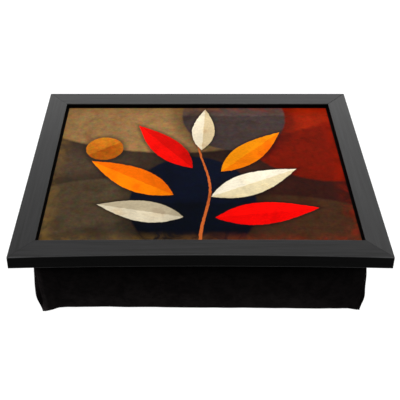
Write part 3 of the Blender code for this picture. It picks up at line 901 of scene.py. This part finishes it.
def cushion_cage():
    """The cushion's skin below the frame, as a box of square cells, open at the top, put in place cell by
    cell. It comes with the numbers of the vertices down each corner, from the frame to the base."""
    spans = (2 * COVER_HALVES[0], 2 * COVER_HALVES[1], FRAME_UNDERSIDE)
    shape = bmesh.new()
    bmesh.ops.create_cube(shape, size=2)
    top = [f for f in shape.faces if f.normal.z > 0.5]
    bmesh.ops.delete(shape, geom=top, context="FACES_ONLY")
    for axis, span in enumerate(spans):
        along = [e for e in shape.edges if runs_along(e, axis)]
        cuts = round(span / CAGE_CELL) - 1
        bmesh.ops.subdivide_edges(shape, edges=along, cuts=cuts, use_grid_fill=True)
    shape.verts.index_update()
    corners = {}
    for vert in shape.verts:
        x, y, z = vert.co
        height = (z + 1) / 2
        vert.co = wall_place(x, y, height) if at_end(x) or at_end(y) else base_place(x, y)
        if at_end(x) and at_end(y):
            name = ("front_" if y < 0 else "back_") + ("left" if x < 0 else "right")
            corners.setdefault(name, []).append((-height, vert.index))
    bmesh.ops.recalc_face_normals(shape, faces=shape.faces)
    return shape, {name: [number for _, number in sorted(found)] for name, found in corners.items()}


def hold_share(place):
    """How firmly a place on the cushion is held while it swells: fully along the frame and on the base, and
    nearly so down the corner seams."""
    half_width, half_depth = COVER_HALVES
    from_frame = (FRAME_UNDERSIDE - place.z) / HOLD_REACH
    from_base = place.z / HOLD_REACH
    from_corner = math.hypot(half_width - abs(place.x - LEAN), half_depth - abs(place.y)) / HOLD_REACH
    shares = [1 - from_frame, 1 - from_base, SEAM_HOLD_SHARE * (1 - from_corner)]
    return min(1.0, max(0.0, *shares))


def swell(piece):
    """Blows the cushion up as cloth, held at the frame, at the base and along its corner seams."""
    start = [v.co.copy() for v in piece.data.vertices]
    held = piece.vertex_groups.new(name="held")
    for v in piece.data.vertices:
        held.add([v.index], hold_share(v.co), "REPLACE")
    cloth = piece.modifiers.new("cloth", "CLOTH")
    for name, value in CLOTH_SETTINGS.items():
        setattr(cloth.settings, name, value)
    cloth.settings.vertex_group_mass = "held"
    cloth.settings.effector_weights.gravity = 0
    cloth.collision_settings.use_collision = False
    cloth.point_cache.frame_start = 1
    cloth.point_cache.frame_end = SWELL_FRAMES
    for number in range(1, SWELL_FRAMES + 1):
        SCENE.frame_set(number)
    apply_modifiers(piece)
    piece.vertex_groups.clear()
    moves = [v.co - before for v, before in zip(piece.data.vertices, start)]
    moves = [m * min(1.0, SWELL_LIMIT / max(m.length, SWELL_LIMIT)) for m in moves]
    for v, before, move in zip(piece.data.vertices, start, ironed(piece.data, moves)):
        v.co = before + move
    SCENE.frame_set(1)


def ironed(mesh, moves):
    """The moves of a mesh's vertices without the ripples that are as small as its cells."""
    near = [[i] for i in range(len(moves))]
    for edge in mesh.edges:
        first, second = edge.vertices
        near[first].append(second)
        near[second].append(first)
    for _ in range(RIPPLE_SMOOTHING):
        moves = [sum((moves[j] for j in group), Vector()) / len(group) for group in near]
    return moves


def rest_on_floor(mesh):
    """Flattens what the cushion rests on: no point is under the floor, and the skin rolls down softly."""
    for v in mesh.vertices:
        height = v.co.z
        root = math.sqrt(height * height + REST_ROUNDING * REST_ROUNDING)
        v.co.z = max(0.0, 0.5 * (height + root) - 0.5 * REST_ROUNDING)


def add_hem(shape):
    """Carries the skin's top edge up past the cushion's board, over it and in, where the staples hold it."""
    rim = [e for e in shape.edges if e.is_boundary]
    for inward, lift in HEM_RINGS:
        grown = bmesh.ops.extrude_edge_only(shape, edges=rim)["geom"]
        verts = {v for v in grown if isinstance(v, bmesh.types.BMVert)}
        limits = [half - inward * HEM_WIDTH for half in COVER_HALVES]
        for v in verts:
            for axis, limit in enumerate(limits):
                v.co[axis] = max(-limit, min(limit, v.co[axis]))
            v.co.z = FRAME_UNDERSIDE + lift * (HEM_TOP - FRAME_UNDERSIDE)
        edges = [e for e in grown if isinstance(e, bmesh.types.BMEdge)]
        rim = [e for e in edges if e.is_boundary and verts.issuperset(e.verts)]


def make_seam(name, points, fabric):
    """A corner's seam: the two sheets' turned edges, as a thin welt from the frame down to the ear."""
    data = bpy.data.curves.new("corner_seam_" + name, "CURVE")
    data.dimensions = "3D"
    data.bevel_depth = SEAM_RADIUS
    data.bevel_resolution = SEAM_BEVEL_STEPS
    data.use_fill_caps = True
    spline = data.splines.new("POLY")
    spline.points.add(len(points) - 1)
    for point, place in zip(spline.points, points):
        point.co = (place.x, place.y, max(place.z, SEAM_RADIUS), 1)
    curve = link("corner_seam_" + name, data)
    mesh = evaluated_mesh(curve)
    bpy.data.objects.remove(curve)
    weld(mesh)
    mesh.materials.clear()
    mesh.materials.append(fabric)
    mesh.shade_smooth()
    seam = link("corner_seam_" + name, mesh)
    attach(seam, "root")


def make_bag(skin_mesh):
    """The inner bag: the skin drawn in by the cloth and a clearance, and closed flat under the board."""
    shape = bmesh_of(skin_mesh)
    free = [v for v in shape.verts if not v.is_boundary]
    every_axis = {"use_axis_x": True, "use_axis_y": True, "use_axis_z": True}
    for _ in range(BAG_SMOOTHING):
        bmesh.ops.smooth_vert(shape, verts=free, factor=0.5, **every_axis)
    shape.normal_update()
    inset = FABRIC_THICKNESS + BAG_CLEARANCE
    for vert, normal in [(v, v.normal.copy()) for v in shape.verts]:
        vert.co -= normal * inset
        vert.co.z = min(max(vert.co.z, inset), FRAME_UNDERSIDE)
    rim = [e for e in shape.edges if e.is_boundary]
    bmesh.ops.edgeloop_fill(shape, edges=rim)
    bmesh.ops.recalc_face_normals(shape, faces=shape.faces)
    bag = link("bead_filled_bag", write_mesh(shape, bpy.data.meshes.new("bead_filled_bag")))
    bag.data.shade_smooth()
    bag.data.set_sharp_from_angle(angle=BAG_SHARP_ANGLE)
    bag.data.materials.append(calico())
    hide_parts("bead_bag")
    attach(bag, "root")


def make_cushion():
    """The cushion's skin with its hem, its bag and its seams."""
    fabric = napped_fabric("napped_fabric", SKIN_PAINTED_LIGHT)
    # The seams take more of the painted light: a painted highlight along them
    seam_fabric = napped_fabric("seam_painted_highlight", SEAM_PAINTED_HIGHLIGHT)
    cage, seams = cushion_cage()
    skin = link("cushion_skin", write_mesh(cage, bpy.data.meshes.new("cushion_skin")))
    swell(skin)
    rest_on_floor(skin.data)
    make_bag(skin.data)
    shape = bmesh_of(skin.data)
    add_hem(shape)
    bmesh.ops.recalc_face_normals(shape, faces=shape.faces)
    write_mesh(shape, skin.data)
    finer = skin.modifiers.new("finer", "SUBSURF")
    finer.levels = finer.render_levels = 1
    thick = skin.modifiers.new("cloth_thickness", "SOLIDIFY")
    thick.thickness = FABRIC_THICKNESS
    thick.offset = -1
    apply_modifiers(skin)
    skin.data.shade_smooth()
    skin.data.materials.append(fabric)
    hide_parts("cushion_cover")
    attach(skin, "root")
    for name, numbers in seams.items():
        make_seam(name, [skin.data.vertices[i].co for i in numbers], seam_fabric)
    # Last, because it numbers the vertices anew
    weld(skin.data)


# Carried-over solids

def dress_solids():
    """Gives each solid that stays its material."""
    by_slot = {
        "printed_surface": printed_design(),
        "fibreboard": fibreboard(),
        "foam_tape": foam_tape(),
        "steel": bright_steel(),
    }
    for row in frame["record"]["subparts"]:
        solid = frame["nodes"][row["node"]]
        made = by_slot.get(row["material_slot"])
        if made:
            solid.data.materials.clear()
            solid.data.materials.append(made)


# Surroundings

def make_camera():
    """The photograph's own camera."""
    data = bpy.data.cameras.new("camera")
    data.sensor_width = SENSOR_WIDTH
    data.lens = SENSOR_WIDTH * FOCAL_PIXELS / IMAGE_SIDE
    data.shift_x = 0.5 - IMAGE_AIM[0] / IMAGE_SIDE
    data.shift_y = IMAGE_AIM[1] / IMAGE_SIDE - 0.5
    camera = link("camera", data)
    camera.matrix_world = Matrix.Translation(CAMERA_PLACE) @ Matrix.Rotation(CAMERA_TILT, 4, "X")
    SCENE.camera = camera


def seen_directly(tree):
    """1 for what the camera sees, also mirrored or through glass, and 0 for the light on other things."""
    path = tree.tree.nodes.new("ShaderNodeLightPath")
    seen = tree.math("MAXIMUM", path.outputs["Is Camera Ray"], path.outputs["Is Glossy Ray"])
    return tree.math("MAXIMUM", seen, path.outputs["Is Transmission Ray"])


def make_world():
    """White where it is seen. As light it is a bright ceiling over dimmer walls."""
    world = bpy.data.worlds.new("studio")
    world.use_nodes = True
    tree = Tree(world.node_tree)
    background = world.node_tree.nodes["Background"]
    tree.set(background.inputs["Color"], (1, 1, 1, 1))
    upward = tree.parts(tree.add("TexCoord"))[2]
    light = tree.step(upward, *CEILING_FROM, *WALL_AND_CEILING)
    strength = tree.math("ADD", tree.times(seen_directly(tree), tree.rest(light)), light)
    tree.set(background.inputs["Strength"], strength)
    SCENE.world = world


def make_floor():
    """A plain white floor that shows a faint shadow."""
    made, tree, shader = material("studio_floor")
    finish_shader(tree, shader, {
        "Base Color": (FLOOR_GREY, FLOOR_GREY, FLOOR_GREY, 1),
        "Roughness": 0.9,
        "Specular IOR Level": 0,
        "Emission Color": (1, 1, 1, 1),
        "Emission Strength": tree.times(seen_directly(tree), FLOOR_GLOW),
    })
    shape = bmesh.new()
    bmesh.ops.create_grid(shape, x_segments=1, y_segments=1, size=FLOOR_SIDE / 2)
    floor = link("studio_floor", write_mesh(shape, bpy.data.meshes.new("studio_floor")))
    floor.location.z = -FLOOR_DROP
    floor.data.materials.append(made)


def make_lamp(name, place, aim_height, size, power, mirrored):
    """A softbox. One that isn't mirrored lights what is dull and leaves no glare on the foil."""
    data = bpy.data.lights.new(name, "AREA")
    data.shape = "RECTANGLE"
    data.size, data.size_y = size
    data.energy = power
    lamp = link(name, data)
    lamp.visible_glossy = mirrored
    lamp.location = place
    towards = Vector((0, 0, aim_height)) - Vector(place)
    lamp.rotation_euler = towards.to_track_quat("-Z", "Y").to_euler()


make_camera()
make_world()
make_floor()
for lamp_name, lamp_row in LAMPS.items():
    make_lamp(lamp_name, *lamp_row)
make_rails()
dress_solids()
make_cushion()
SCENE.view_settings.view_transform = "Standard"
